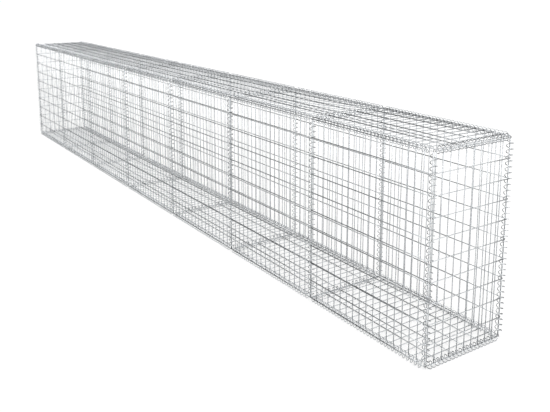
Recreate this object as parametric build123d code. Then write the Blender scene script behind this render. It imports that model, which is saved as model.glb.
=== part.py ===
"""A gabion wall: an empty basket of welded wire mesh, in bays, laced shut with spiral binders.

Every mesh panel is a flat sheet that lies just outside one face of the stone space, a plain
box, and stops short of that box's edges. A spiral is wound round each edge and each seam,
so that it catches the edge wires of the panels that meet there.

Frame: x runs along the wall, y from front to rear, z up. The origin is on the ground under
the middle of the wall.
"""
from build123d import *
import math
import os

os.makedirs("parts", exist_ok=True)

# the stone space that the basket encloses
LENGTH = 6000.0
DEPTH = 500.0
HEIGHT = 1000.0
BAYS = 7

# the welded mesh: narrow cells between the column wires, wide cells between the row wires
NARROW_CELL = 50.0
WIDE_CELL = 100.0
MESH_WIRE_D = 4.0
EDGE_INSET = 3.57  # from an edge of the stone space to a panel's last wire
WIRE_OVERHANG = 1.2  # how far the cut ends stand out past the last crossing wire

# the spiral binders
SPIRAL_WIRE_D = 3.0
SPIRAL_D = 35.0  # outside
SPIRAL_STOP = 19.0  # from a corner or a seam to the end of a spiral's wire, at least
SPIRAL_FACETS = 8  # straight bars in one turn
TURNS_PER_NARROW_CELL = 2.0  # where wires cross the edge at narrow cells: the long edges and the ends
TURNS_PER_WIDE_CELL = 3.5  # where they cross at wide cells only: up the wall and across the seams

# each round wire is a square bar with the same area of steel
MESH_BAR = MESH_WIRE_D * math.sqrt(math.pi) / 2
SPIRAL_BAR = SPIRAL_WIRE_D * math.sqrt(math.pi) / 2
SPIRAL_R = (SPIRAL_D - SPIRAL_WIRE_D) / 2
BAY = LENGTH / BAYS
SPIRAL_REACH = SPIRAL_R + SPIRAL_BAR / math.sqrt(2) / math.cos(math.pi / SPIRAL_FACETS)  # to a mitre
BOTTOM = SPIRAL_REACH  # the lowest turns touch the ground
TOP = BOTTOM + HEIGHT


def cells(span, cell):
    """The number of whole cells, and their exact size, between a panel's two edge wires."""
    clear = span - 2 * EDGE_INSET
    count = round(clear / cell)
    return count, clear / count


ALONG_BAY = cells(BAY, NARROW_CELL)
UP_WALL = cells(HEIGHT, WIDE_CELL)
ACROSS_COVER = cells(DEPTH, WIDE_CELL)
ACROSS_END = (2 * ACROSS_COVER[0], ACROSS_COVER[1] / 2)


def mesh_panel(columns, rows):
    """A welded sheet in front of the plane y = 0, its corner crossing over the origin.

    columns and rows are the (count, size) of the cells. The column wires lie against the
    plane, and the row wires are welded across their fronts.
    """
    (nx, dx), (nz, dz) = columns, rows
    past = MESH_BAR / 2 + WIRE_OVERHANG
    column = Box(MESH_BAR, MESH_BAR, nz * dz + 2 * past, align=(Align.CENTER, Align.MAX, Align.MIN))
    row = Box(nx * dx + 2 * past, MESH_BAR, MESH_BAR, align=(Align.MIN, Align.MAX, Align.CENTER))
    uprights = [Pos(i * dx, 0, -past) * column for i in range(nx + 1)]
    crossbars = [Pos(-past, -MESH_BAR, k * dz) * row for k in range(nz + 1)]
    return uprights[0].fuse(*uprights[1:], *crossbars)


def spiral(edge_length, cell_size, turns_per_cell):
    """A left-hand spiral along +Z for an edge that starts at the origin, of short straight bars.

    Its pitch keeps step with the wires that cross the edge: a corner of the strand is at +X
    beside the first of them, EDGE_INSET up, so it passes each sheet midway between wires.
    """
    pitch = cell_size / turns_per_cell
    step, turn = pitch / SPIRAL_FACETS, -2 * math.pi / SPIRAL_FACETS
    first = math.ceil((SPIRAL_STOP - EDGE_INSET) / step)
    last = math.floor((edge_length - SPIRAL_STOP - EDGE_INSET) / step)
    corners = [
        (SPIRAL_R * math.cos(turn * i), SPIRAL_R * math.sin(turn * i), EDGE_INSET + step * i)
        for i in range(first, last + 1)
    ]
    path = Polyline(*corners)
    start = Plane(origin=path @ 0, x_dir=(*corners[0][:2], 0), z_dir=path % 0)
    return sweep(start * Rectangle(SPIRAL_BAR, SPIRAL_BAR), path=path, transition=Transition.RIGHT)


def placed(solid, origin, x_dir, z_dir):
    return Plane(origin=origin, x_dir=x_dir, z_dir=z_dir).location * solid


# mesh panels: x_dir spreads a panel's columns, z_dir is the way that they run
wall_panel = mesh_panel(ALONG_BAY, UP_WALL)
cover_panel = mesh_panel(ALONG_BAY, ACROSS_COVER)
end_panel = mesh_panel(ACROSS_END, UP_WALL)
near, far = -DEPTH / 2, DEPTH / 2
low = BOTTOM + EDGE_INSET
panels = {
    "left_end_panel": placed(end_panel, (-LENGTH / 2, far - EDGE_INSET, low), (0, -1, 0), (0, 0, 1)),
    "right_end_panel": placed(end_panel, (LENGTH / 2, near + EDGE_INSET, low), (0, 1, 0), (0, 0, 1)),
}
for bay in range(BAYS):
    no = bay + 1
    left = bay * BAY - LENGTH / 2 + EDGE_INSET
    right = left + BAY - 2 * EDGE_INSET
    panels |= {
        f"front_panel_{no}": placed(wall_panel, (left, near, low), (1, 0, 0), (0, 0, 1)),
        f"rear_panel_{no}": placed(wall_panel, (right, far, low), (-1, 0, 0), (0, 0, 1)),
        f"lid_panel_{no}": placed(cover_panel, (left, near + EDGE_INSET, TOP), (1, 0, 0), (0, 1, 0)),
        f"floor_panel_{no}": placed(cover_panel, (left, far - EDGE_INSET, BOTTOM), (1, 0, 0), (0, -1, 0)),
    }
for name, panel in panels.items():
    export_step(panel, f"parts/{name}.step", write_pcurves=False)

# spiral binders: z_dir runs along the edge, x_dir is where the strand is beside a crossing wire
edge_spiral = spiral(BAY, ALONG_BAY[1], TURNS_PER_NARROW_CELL)
end_spiral = spiral(DEPTH, ACROSS_END[1], TURNS_PER_NARROW_CELL)
seam_spiral = spiral(DEPTH, ACROSS_COVER[1], TURNS_PER_WIDE_CELL)
upright_spiral = spiral(HEIGHT, UP_WALL[1], TURNS_PER_WIDE_CELL)
seams = [bay * BAY - LENGTH / 2 for bay in range(BAYS + 1)]
outward = [-1] + [0] * (BAYS - 1) + [1]  # along x, at each seam: the first and the last are the wall's ends

spirals = {}
for side, y, out_y in (("front", near, -1), ("rear", far, 1)):
    spirals[f"{side}_upright_spirals"] = [
        placed(upright_spiral, (seam, y, BOTTOM), (out_x, out_y, 0), (0, 0, 1))
        for seam, out_x in zip(seams, outward)
    ]
    for level, z, out_z in (("top", TOP, 1), ("bottom", BOTTOM, -1)):
        spirals[f"{side}_{level}_spirals"] = [
            placed(edge_spiral, (seam, y, z), (0, out_y, out_z), (1, 0, 0)) for seam in seams[:-1]
        ]
for cover, z, out_z in (("lid", TOP, 1), ("floor", BOTTOM, -1)):
    spirals[f"{cover}_cross_spirals"] = [
        placed(end_spiral if out_x else seam_spiral, (seam, near, z), (out_x, 0, out_z), (0, 1, 0))
        for seam, out_x in zip(seams, outward)
    ]
for name, coils in spirals.items():
    export_step(Compound(children=coils), f"parts/{name}.step", write_pcurves=False)
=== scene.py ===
"""The look of a gabion wall: an empty basket of galvanised mesh panels, laced with spiral wires.

All measures are in metres. x runs along the wall, y from front to rear, z up from the ground.
"""

import math

import bpy
import numpy as np
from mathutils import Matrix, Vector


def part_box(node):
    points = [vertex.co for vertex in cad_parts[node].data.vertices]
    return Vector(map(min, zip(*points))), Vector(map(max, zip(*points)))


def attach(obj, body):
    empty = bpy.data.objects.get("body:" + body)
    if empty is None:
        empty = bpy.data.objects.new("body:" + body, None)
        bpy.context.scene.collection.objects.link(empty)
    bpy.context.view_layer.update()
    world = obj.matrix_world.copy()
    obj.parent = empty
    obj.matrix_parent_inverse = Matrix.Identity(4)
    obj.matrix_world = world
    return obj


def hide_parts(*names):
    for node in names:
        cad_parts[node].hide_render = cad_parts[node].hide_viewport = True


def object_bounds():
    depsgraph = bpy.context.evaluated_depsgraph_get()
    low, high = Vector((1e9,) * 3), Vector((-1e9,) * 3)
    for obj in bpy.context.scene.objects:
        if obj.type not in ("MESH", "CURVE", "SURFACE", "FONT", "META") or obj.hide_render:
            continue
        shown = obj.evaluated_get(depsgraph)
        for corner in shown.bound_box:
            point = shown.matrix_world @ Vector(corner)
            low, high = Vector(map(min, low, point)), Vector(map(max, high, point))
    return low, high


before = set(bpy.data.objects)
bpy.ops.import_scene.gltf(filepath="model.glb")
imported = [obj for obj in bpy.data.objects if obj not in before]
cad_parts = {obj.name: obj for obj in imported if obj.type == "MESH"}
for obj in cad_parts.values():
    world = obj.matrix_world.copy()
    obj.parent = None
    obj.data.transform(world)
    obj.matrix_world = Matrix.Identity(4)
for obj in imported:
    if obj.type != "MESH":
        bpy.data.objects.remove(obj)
cad_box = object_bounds()


# ---- The studio ---------------------------------------------------------------------------------
# A plain floor that glows just past white, a pale sky that dims to the left, and one broad, soft
# lamp overhead. The wires are thin, so what they reflect tells those along the wall from the rest.
# The floor is only a little past white: any more would drown the wires that stand before it.
FLOOR_HALF = 150.0
FLOOR_WHITE = (0.3, 0.3, 0.3, 1.0)
FLOOR_GLOW = 0.685
SKY_BRIGHT = (1.0, 1.0, 1.0, 1.0)
SKY_DIM = (0.33, 0.33, 0.33, 1.0)
SKY_STRENGTH = 1.28
SKY_FADE = (-0.7, 0.3)  # x of the directions where the sky is dimmest and where it is brightest
LAMP_STRENGTH, LAMP_SPREAD = 1.2, math.radians(70.0)
LAMP_TURN = (math.radians(35.0), math.radians(30.0), 0.0)

floor_mesh = bpy.data.meshes.new("studio_floor")
corners = np.array([(-1, -1), (1, -1), (1, 1), (-1, 1)]) * FLOOR_HALF
floor_mesh.from_pydata(np.c_[corners, np.zeros(4)].tolist(), [], [(0, 1, 2, 3)])
studio_floor = bpy.data.objects.new("studio_floor", floor_mesh)
bpy.context.scene.collection.objects.link(studio_floor)
studio_floor.visible_glossy = False

floor_paint = bpy.data.materials.new("floor_paint")
floor_paint.use_nodes = True
floor_shader = floor_paint.node_tree.nodes["Principled BSDF"]
floor_shader.inputs["Base Color"].default_value = FLOOR_WHITE
floor_shader.inputs["Roughness"].default_value = 1.0
floor_shader.inputs["Specular IOR Level"].default_value = 0.0
floor_shader.inputs["Emission Color"].default_value = SKY_BRIGHT
floor_shader.inputs["Emission Strength"].default_value = FLOOR_GLOW
floor_mesh.materials.append(floor_paint)

sky = bpy.data.worlds.new("studio_sky")
bpy.context.scene.world = sky
sky.use_nodes = True
nodes, links = sky.node_tree.nodes, sky.node_tree.links
nodes.clear()
where = nodes.new("ShaderNodeTexCoord")
along_wall = nodes.new("ShaderNodeSeparateXYZ")
fade = nodes.new("ShaderNodeMapRange")
fade.interpolation_type = "SMOOTHSTEP"
fade.inputs["From Min"].default_value, fade.inputs["From Max"].default_value = SKY_FADE
tone = nodes.new("ShaderNodeMix")
tone.data_type = "RGBA"
tone.inputs["A"].default_value = SKY_DIM
tone.inputs["B"].default_value = SKY_BRIGHT
seen = nodes.new("ShaderNodeLightPath")
lit = nodes.new("ShaderNodeBackground")
lit.inputs["Strength"].default_value = SKY_STRENGTH
backdrop = nodes.new("ShaderNodeBackground")
backdrop.inputs["Color"].default_value = SKY_BRIGHT
choose = nodes.new("ShaderNodeMixShader")
sky_out = nodes.new("ShaderNodeOutputWorld")
links.new(where.outputs["Generated"], along_wall.inputs["Vector"])
links.new(along_wall.outputs["X"], fade.inputs["Value"])
links.new(fade.outputs["Result"], tone.inputs["Factor"])
links.new(tone.outputs["Result"], lit.inputs["Color"])
links.new(seen.outputs["Is Camera Ray"], choose.inputs["Fac"])
links.new(lit.outputs["Background"], choose.inputs[1])
links.new(backdrop.outputs["Background"], choose.inputs[2])
links.new(choose.outputs["Shader"], sky_out.inputs["Surface"])

lamp = bpy.data.lights.new("soft_lamp", "SUN")
lamp.energy = LAMP_STRENGTH
lamp.angle = LAMP_SPREAD
soft_lamp = bpy.data.objects.new("soft_lamp", lamp)
bpy.context.scene.collection.objects.link(soft_lamp)
soft_lamp.rotation_euler = LAMP_TURN

# A person's eye height, off the right-hand end, looking along the front of the wall
CAMERA_PLACE = (5.018, -2.412, 1.7201)
CAMERA_AIM = (4.207, -1.857, 1.5341)
CAMERA_ROLL = 0.002
SENSOR_MM, FOCAL_MM = 36.0, 45.935
LENS_SHIFT = (-0.01282, -0.16735)
lens = bpy.data.cameras.new("camera")
lens.sensor_width, lens.lens = SENSOR_MM, FOCAL_MM
lens.shift_x, lens.shift_y = LENS_SHIFT
lens.clip_end = 500.0
camera = bpy.data.objects.new("camera", lens)
bpy.context.scene.collection.objects.link(camera)
aim = (Vector(CAMERA_AIM) - Vector(CAMERA_PLACE)).to_track_quat("-Z", "Y").to_matrix().to_4x4()
camera.matrix_world = Matrix.Translation(CAMERA_PLACE) @ aim @ Matrix.Rotation(CAMERA_ROLL, 4, "Z")
bpy.context.scene.camera = camera
bpy.context.scene.view_settings.view_transform = "Standard"
bpy.context.scene.view_settings.gamma = 0.5


# ---- The mesh panels ----------------------------------------------------------------------------
# Round steel wires, welded where they cross and then dipped in zinc. The upright wires lie inside,
# and the ones that run along the wall are welded across their fronts, sunk in a little.
WIRE_R = 0.002
WELD_SINK = 0.0005
NARROW_CELL, WIDE_CELL = 0.05, 0.1
CAD_MARGIN = 0.00297  # from the end of a packed panel's bars to the middle of its last crossing wire
CUT_SHORT, CUT_LONG = -0.0004, 0.0006  # how far a wire's end may miss, or pass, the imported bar's end
CUT_ROUND = 0.0004
CUT_WIDTH = 0.8  # of a cut end's face, in wire widths
NUGGET_RISES = (-0.55, 0.0, 0.55)  # of a weld nugget's three rings from its middle, in wire radii
NUGGET_WIDTHS = (0.6, 1.1, 0.6)  # and how wide they are, in wire widths
WIRE_SIDES = 8
NUGGET_SIDES = 6

chance = np.random.default_rng(11)


def tubes(centres, side, up, sides):
    """Closed tubes: centre + cos(v) * side + sin(v) * up, where v goes once round each ring.

    centres, side and up have the shape (tubes, rings, 3). Returns the corners, the four-sided
    faces round the tubes and the many-sided faces that close their ends.
    """
    v = np.arange(sides) * 2 * math.pi / sides
    ring = centres[:, :, None] + np.cos(v)[:, None] * side[:, :, None] + np.sin(v)[:, None] * up[:, :, None]
    count, rings = centres.shape[:2]
    at = np.arange(count * rings * sides).reshape(count, rings, sides)
    on = np.roll(at, -1, axis=2)
    skin = np.stack([at[:, :-1], on[:, :-1], on[:, 1:], at[:, 1:]], axis=-1).reshape(-1, 4)
    ends = np.concatenate([at[:, 0, ::-1], at[:, -1]])
    return ring.reshape(-1, 3), skin, ends


def make_piece(name, parts, finishes):
    """One object from several sets of tubes, each with the finish of its skin and of its ends."""
    corners, faces, finish, first = [], [], [], 0
    for (places, skin, ends), skin_finish, end_finish in parts:
        corners.append(places)
        faces += (skin + first).tolist() + (ends + first).tolist()
        finish += [skin_finish] * len(skin) + [end_finish] * len(ends)
        first += len(places)
    mesh = bpy.data.meshes.new(name)
    mesh.from_pydata(np.concatenate(corners).tolist(), [], faces)
    mesh.polygons.foreach_set("material_index", finish)
    mesh.polygons.foreach_set("use_smooth", [len(f) == 4 for f in faces])
    for each in finishes:
        mesh.materials.append(each)
    mesh.update()
    piece = bpy.data.objects.new(name, mesh)
    bpy.context.scene.collection.objects.link(piece)
    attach(piece, "root")
    return piece


zinc = bpy.data.node_groups.new("zinc_coat", "ShaderNodeTree")
for name, kind, value in (
    ("Light", "NodeSocketColor", (0.6, 0.6, 0.6, 1.0)),
    ("Dark", "NodeSocketColor", (0.3, 0.3, 0.3, 1.0)),
    ("Smooth", "NodeSocketFloat", 0.3),
    ("Rough", "NodeSocketFloat", 0.6),
    ("Grain Height", "NodeSocketFloat", 0.0001),
):
    zinc.interface.new_socket(name, in_out="INPUT", socket_type=kind).default_value = value
zinc.interface.new_socket("Color", in_out="OUTPUT", socket_type="NodeSocketColor")
zinc.interface.new_socket("Roughness", in_out="OUTPUT", socket_type="NodeSocketFloat")
zinc.interface.new_socket("Normal", in_out="OUTPUT", socket_type="NodeSocketVector")
nodes, links = zinc.nodes, zinc.links
given, result = nodes.new("NodeGroupInput"), nodes.new("NodeGroupOutput")
where = nodes.new("ShaderNodeTexCoord")
spangle = nodes.new("ShaderNodeTexVoronoi")  # the flake-like crystals of the zinc
spangle.inputs["Scale"].default_value = 260.0
flake = nodes.new("ShaderNodeSeparateColor")
patches = nodes.new("ShaderNodeTexNoise")  # where the coat has weathered to a dull grey
patches.inputs["Scale"].default_value = 7.0
patches.inputs["Detail"].default_value = 5.0
grain = nodes.new("ShaderNodeTexNoise")  # runs and pimples that are left as the coat sets
grain.inputs["Scale"].default_value = 900.0
grain.inputs["Detail"].default_value = 3.0
blend = nodes.new("ShaderNodeMath")
blend.operation = "MULTIPLY_ADD"
blend.inputs[1].default_value = 0.55
spread = nodes.new("ShaderNodeMapRange")
spread.inputs["From Min"].default_value = 0.3
spread.inputs["From Max"].default_value = 1.0
colour = nodes.new("ShaderNodeMix")
colour.data_type = "RGBA"
rough = nodes.new("ShaderNodeMix")
bump = nodes.new("ShaderNodeBump")
links.new(where.outputs["Object"], spangle.inputs["Vector"])
links.new(where.outputs["Object"], patches.inputs["Vector"])
links.new(where.outputs["Object"], grain.inputs["Vector"])
links.new(spangle.outputs["Color"], flake.inputs["Color"])
links.new(flake.outputs["Red"], blend.inputs[0])
links.new(patches.outputs["Fac"], blend.inputs[2])
links.new(blend.outputs["Value"], spread.inputs["Value"])
links.new(spread.outputs["Result"], colour.inputs["Factor"])
links.new(given.outputs["Light"], colour.inputs["A"])
links.new(given.outputs["Dark"], colour.inputs["B"])
links.new(spread.outputs["Result"], rough.inputs["Factor"])
links.new(given.outputs["Smooth"], rough.inputs["A"])
links.new(given.outputs["Rough"], rough.inputs["B"])
links.new(grain.outputs["Fac"], bump.inputs["Height"])
links.new(given.outputs["Grain Height"], bump.inputs["Distance"])
links.new(colour.outputs["Result"], result.inputs["Color"])
links.new(rough.outputs["Result"], result.inputs["Roughness"])
links.new(bump.outputs["Normal"], result.inputs["Normal"])


def zinc_finish(name, light, dark, smooth, rough, grain_height, metallic):
    """A metal whose colour, gloss and grain come from the zinc_coat group."""
    finish = bpy.data.materials.new(name)
    finish.use_nodes = True
    tree = finish.node_tree
    shader = tree.nodes["Principled BSDF"]
    coat = tree.nodes.new("ShaderNodeGroup")
    coat.node_tree = zinc
    coat.inputs["Light"].default_value = light
    coat.inputs["Dark"].default_value = dark
    coat.inputs["Smooth"].default_value = smooth
    coat.inputs["Rough"].default_value = rough
    coat.inputs["Grain Height"].default_value = grain_height
    shader.inputs["Metallic"].default_value = metallic
    tree.links.new(coat.outputs["Color"], shader.inputs["Base Color"])
    tree.links.new(coat.outputs["Roughness"], shader.inputs["Roughness"])
    tree.links.new(coat.outputs["Normal"], shader.inputs["Normal"])
    return finish


mesh_zinc = zinc_finish("mesh_zinc", (0.80, 0.81, 0.82, 1), (0.64, 0.65, 0.66, 1), 0.20, 0.38, 0.00004, 1.0)
weld_zinc = zinc_finish("weld_zinc", (0.76, 0.77, 0.78, 1), (0.56, 0.57, 0.58, 1), 0.30, 0.50, 0.00005, 1.0)
cut_steel = zinc_finish("cut_steel", (0.36, 0.34, 0.32, 1), (0.22, 0.18, 0.15, 1), 0.40, 0.70, 0.0001, 0.8)

X, Y, Z = np.eye(3)
# which way each panel faces, which way its inner wires run, and which way its outer wires run
FACING = {
    "front": (-Y, Z, X),
    "rear": (Y, Z, X),
    "lid": (Z, Y, X),
    "floor": (-Z, Y, X),
    "left_end": (-X, Z, Y),
    "right_end": (X, Z, Y),
}


def evenly(low, high, direction, cell):
    """The middles of the crossing wires along direction: equal steps between the two edge wires."""
    first, last = low @ direction + CAD_MARGIN, high @ direction - CAD_MARGIN
    return np.linspace(first, last, round((last - first) / cell) + 1)


def straight_wires(places, across, run, start, end, level, outward):
    """Wires along run from start to end, one at each place across, in the layer at level outward.

    Each is a tube of four rings, so that the rounding of a cut end stays within CUT_ROUND of it.
    """
    middle = places[:, None] * across + level * outward
    stops = np.stack([start, start + CUT_ROUND, end - CUT_ROUND, end], axis=1)
    centres = middle[:, None, :] + stops[:, :, None] * run
    widths = np.array([CUT_WIDTH, 1.0, 1.0, CUT_WIDTH])[None, :, None]
    radius = np.broadcast_to(widths * WIRE_R, centres.shape)
    return tubes(centres, radius * outward, radius * np.cross(run, outward), WIRE_SIDES)


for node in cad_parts:
    if "panel" not in node:
        continue
    group = node.split("_panel")[0]
    outward, inner_run, outer_run = FACING[group]
    low, high = (np.array(corner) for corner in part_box(node))
    inner_face = min(low @ outward, high @ outward)
    inner_places = evenly(low, high, outer_run, NARROW_CELL)
    outer_places = evenly(low, high, inner_run, WIDE_CELL)
    parts = []
    for places, across, run, level in (
        (inner_places, outer_run, inner_run, inner_face + WIRE_R),
        (outer_places, inner_run, outer_run, inner_face + 3 * WIRE_R - WELD_SINK),
    ):
        trim = chance.uniform(CUT_SHORT, CUT_LONG, (2, len(places)))
        wires = straight_wires(places, across, run, low @ run - trim[0], high @ run + trim[1], level, outward)
        parts.append((wires, 0, 2))
    crossings = inner_places[:, None, None] * outer_run + outer_places[None, :, None] * inner_run
    rises = np.array(NUGGET_RISES)[None, :, None] * WIRE_R + inner_face + 2 * WIRE_R - WELD_SINK / 2
    middles = crossings.reshape(-1, 1, 3) + rises * outward
    radius = np.broadcast_to(np.array(NUGGET_WIDTHS)[None, :, None] * WIRE_R, middles.shape)
    nuggets = tubes(middles, radius * inner_run, radius * np.cross(outward, inner_run), NUGGET_SIDES)
    parts.append((nuggets, 1, 1))
    panel = make_piece(node.replace("panel", "mesh"), parts, [mesh_zinc, weld_zinc, cut_steel])
    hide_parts(node)


# ---- The spiral binders -------------------------------------------------------------------------
# Spring wire wound to the left and screwed in along each edge and seam from its end, so that it
# catches the edge wires of the panels that meet there. It is dipped in zinc before it is wound.
SPIRAL_WIRE_R = 0.0015
SPIRAL_R = 0.016
SPIRAL_STOP = 0.019
EDGE_INSET = 0.00357
BEADS_PER_TURN = 16
SPIRAL_SIDES = 6
LENGTH, DEPTH, HEIGHT, BAYS = 6.0, 0.5, 1.0, 7
BAY_CELLS, WALL_CELLS, COVER_CELLS = 17, 10, 5  # along a bay, up the wall and across the lid
EDGE_TURNS, UPRIGHT_TURNS, SEAM_TURNS, END_TURNS = 2, 3.5, 3.5, 4  # of a binder in each cell

spiral_zinc = zinc_finish(
    "spiral_zinc", (0.80, 0.81, 0.82, 1), (0.66, 0.67, 0.68, 1), 0.18, 0.34, 0.00004, 1.0
)


def spirals(starts, outward, run, edge_length, pitch):
    """Left-hand coils along run: start + run * t + SPIRAL_R * (cos(a) * out + sin(a) * third).

    t goes along the edge, a falls by a whole turn for each pitch of t, and the strand is at out,
    the way out of the basket's corner, where t is EDGE_INSET.
    """
    turns = (edge_length - 2 * SPIRAL_STOP) / pitch
    t = np.linspace(SPIRAL_STOP, edge_length - SPIRAL_STOP, round(turns * BEADS_PER_TURN) + 1)
    a = (-2 * math.pi / pitch * (t - EDGE_INSET))[None, :, None]
    outward = outward[:, None, :] / np.linalg.norm(outward, axis=1)[:, None, None]
    third = np.cross(run, outward)
    radial = np.cos(a) * outward + np.sin(a) * third
    centres = starts[:, None, :] + t[None, :, None] * run + SPIRAL_R * radial
    climb = pitch / (2 * math.pi * SPIRAL_R)
    heading = (climb * run - np.cross(run, radial)) / math.hypot(1, climb)
    return tubes(centres, radial * SPIRAL_WIRE_R, np.cross(heading, radial) * SPIRAL_WIRE_R, SPIRAL_SIDES)


bottom = -cad_box[0][1] - DEPTH / 2  # the coils stand out of the basket's sides as far as they do below it
seams = np.linspace(-LENGTH / 2, LENGTH / 2, BAYS + 1)
at_end = np.array([-1] + [0] * (BAYS - 1) + [1])[:, None]
bay_cell = (LENGTH / BAYS - 2 * EDGE_INSET) / BAY_CELLS
wall_cell = (HEIGHT - 2 * EDGE_INSET) / WALL_CELLS
cover_cell = (DEPTH - 2 * EDGE_INSET) / COVER_CELLS
rows = []
for side, y in (("front", -1), ("rear", 1)):
    starts = seams[:, None] * X + y * DEPTH / 2 * Y + bottom * Z
    out = at_end * X + y * Y
    rows.append((f"{side}_upright_spirals", [spirals(starts, out, Z, HEIGHT, wall_cell / UPRIGHT_TURNS)]))
    for level, z in (("bottom", -1), ("top", 1)):
        starts = seams[:-1, None] * X + y * DEPTH / 2 * Y + (bottom + HEIGHT * (z > 0)) * Z
        out = np.repeat((y * Y + z * Z)[None], BAYS, axis=0)
        coils = spirals(starts, out, X, LENGTH / BAYS, bay_cell / EDGE_TURNS)
        rows.append((f"{side}_{level}_spirals", [coils]))
for cover, z in (("lid", 1), ("floor", -1)):
    starts = seams[:, None] * X - DEPTH / 2 * Y + (bottom + HEIGHT * (z > 0)) * Z
    out = at_end * X + z * Z
    inner, outer = slice(1, -1), [0, -1]
    rows.append((f"{cover}_cross_spirals", [
        spirals(starts[inner], out[inner], Y, DEPTH, cover_cell / SEAM_TURNS),
        spirals(starts[outer], out[outer], Y, DEPTH, cover_cell / END_TURNS),
    ]))
for node, coils in rows:
    coil = make_piece(node.replace("spirals", "coils"), [(c, 0, 1) for c in coils], [spiral_zinc, cut_steel])
    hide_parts(node)
